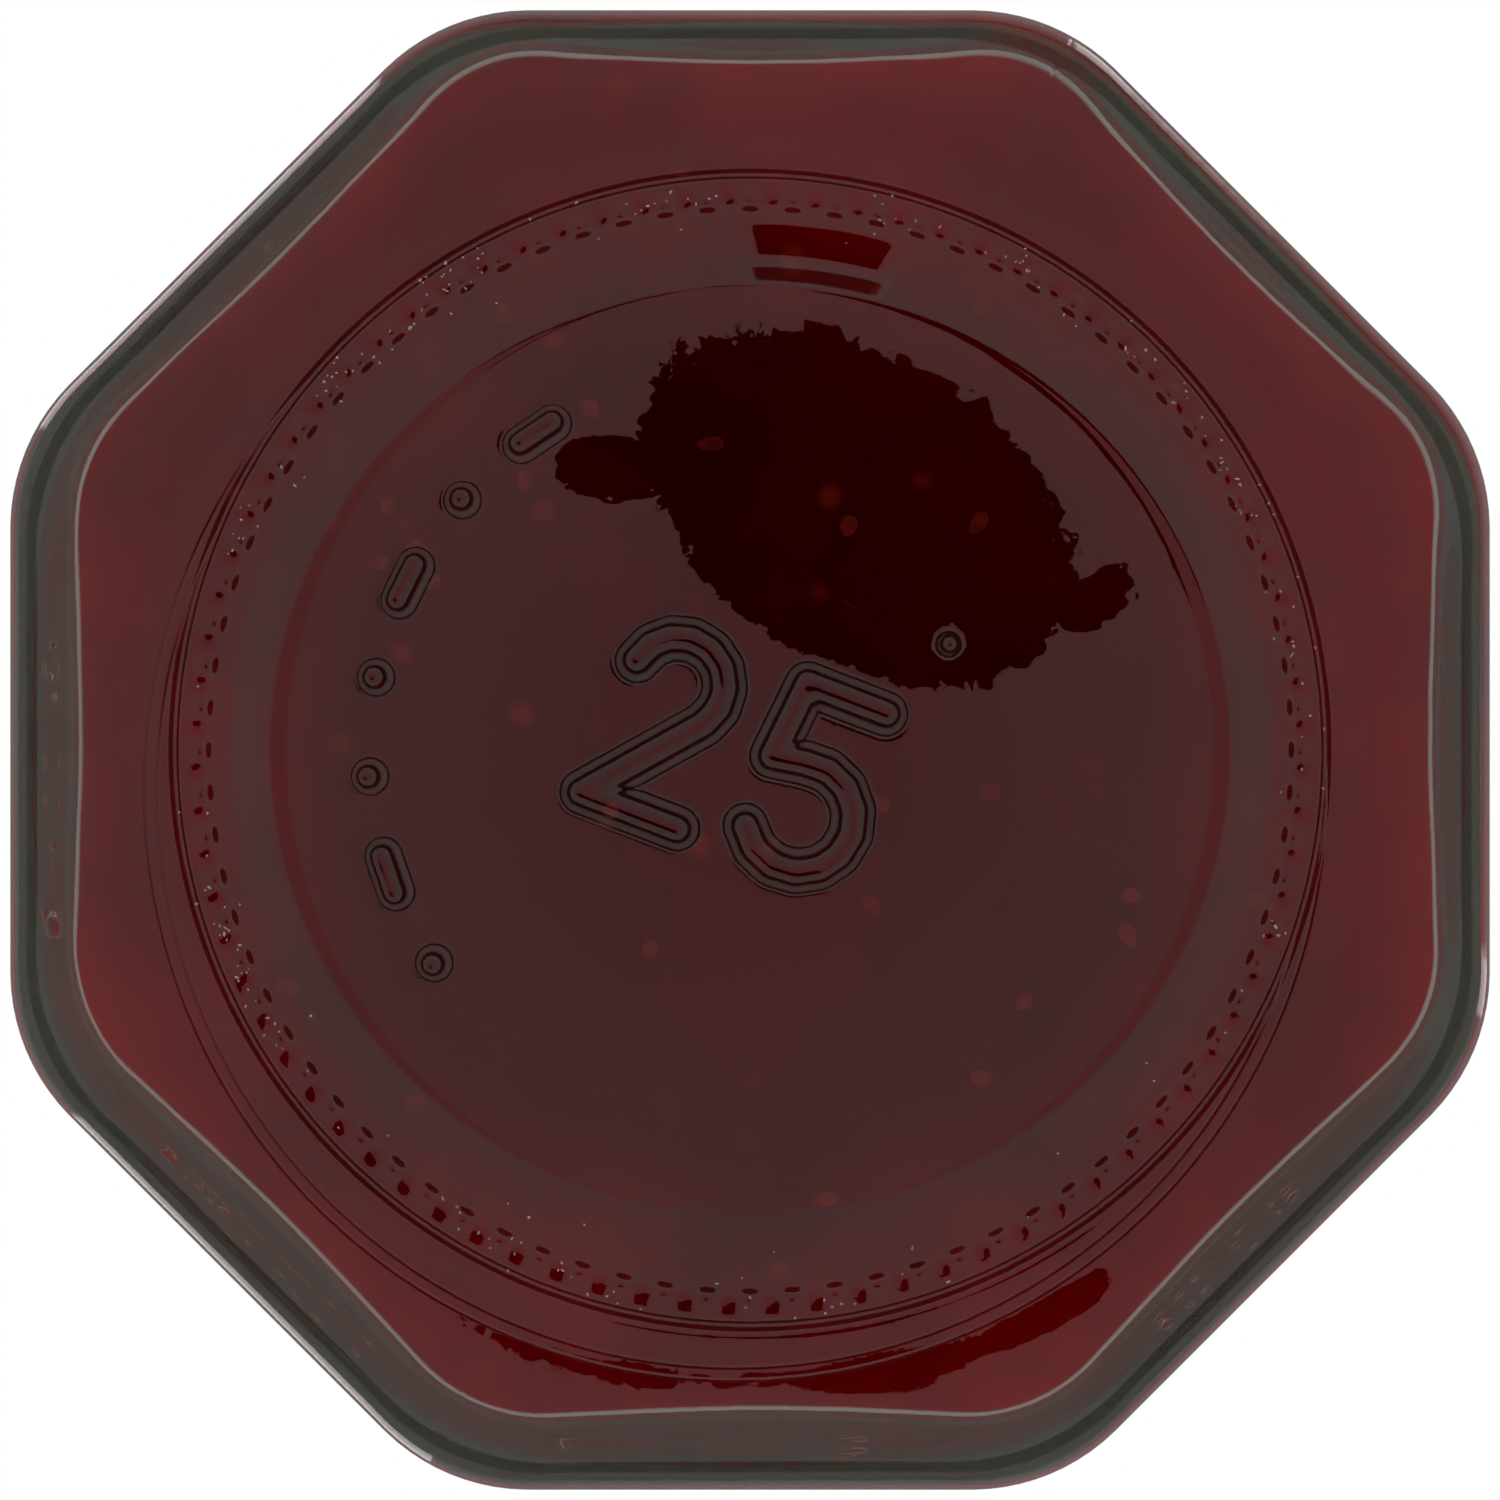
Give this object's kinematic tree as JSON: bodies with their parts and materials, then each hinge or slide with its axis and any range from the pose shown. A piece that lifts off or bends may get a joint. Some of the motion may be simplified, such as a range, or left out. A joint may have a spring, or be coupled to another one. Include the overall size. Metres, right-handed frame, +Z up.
{
  "type": "jam jar",
  "caption": "Eight-sided clear glass jar filled with red berry jam, with a stippled foot and a plain twist-off metal lid.",
  "frame": {"origin": "centre of the jar's foot, on the surface it stands on", "axes": "+Z up along the axis of the jar; X and Y run through the middles of flat sides"},
  "size_m": [0.07, 0.07, 0.0954],
  "materials": {
    "glass": "clear, faintly green, smooth",
    "jam": "dark red, translucent, wet",
    "lid_metal": "gold lacquer on tinplate"
  },
  "bodies": {
    "root": {"glass_jar": "glass", "jam": "jam", "lid": "lid_metal"}
  },
  "joints": []
}
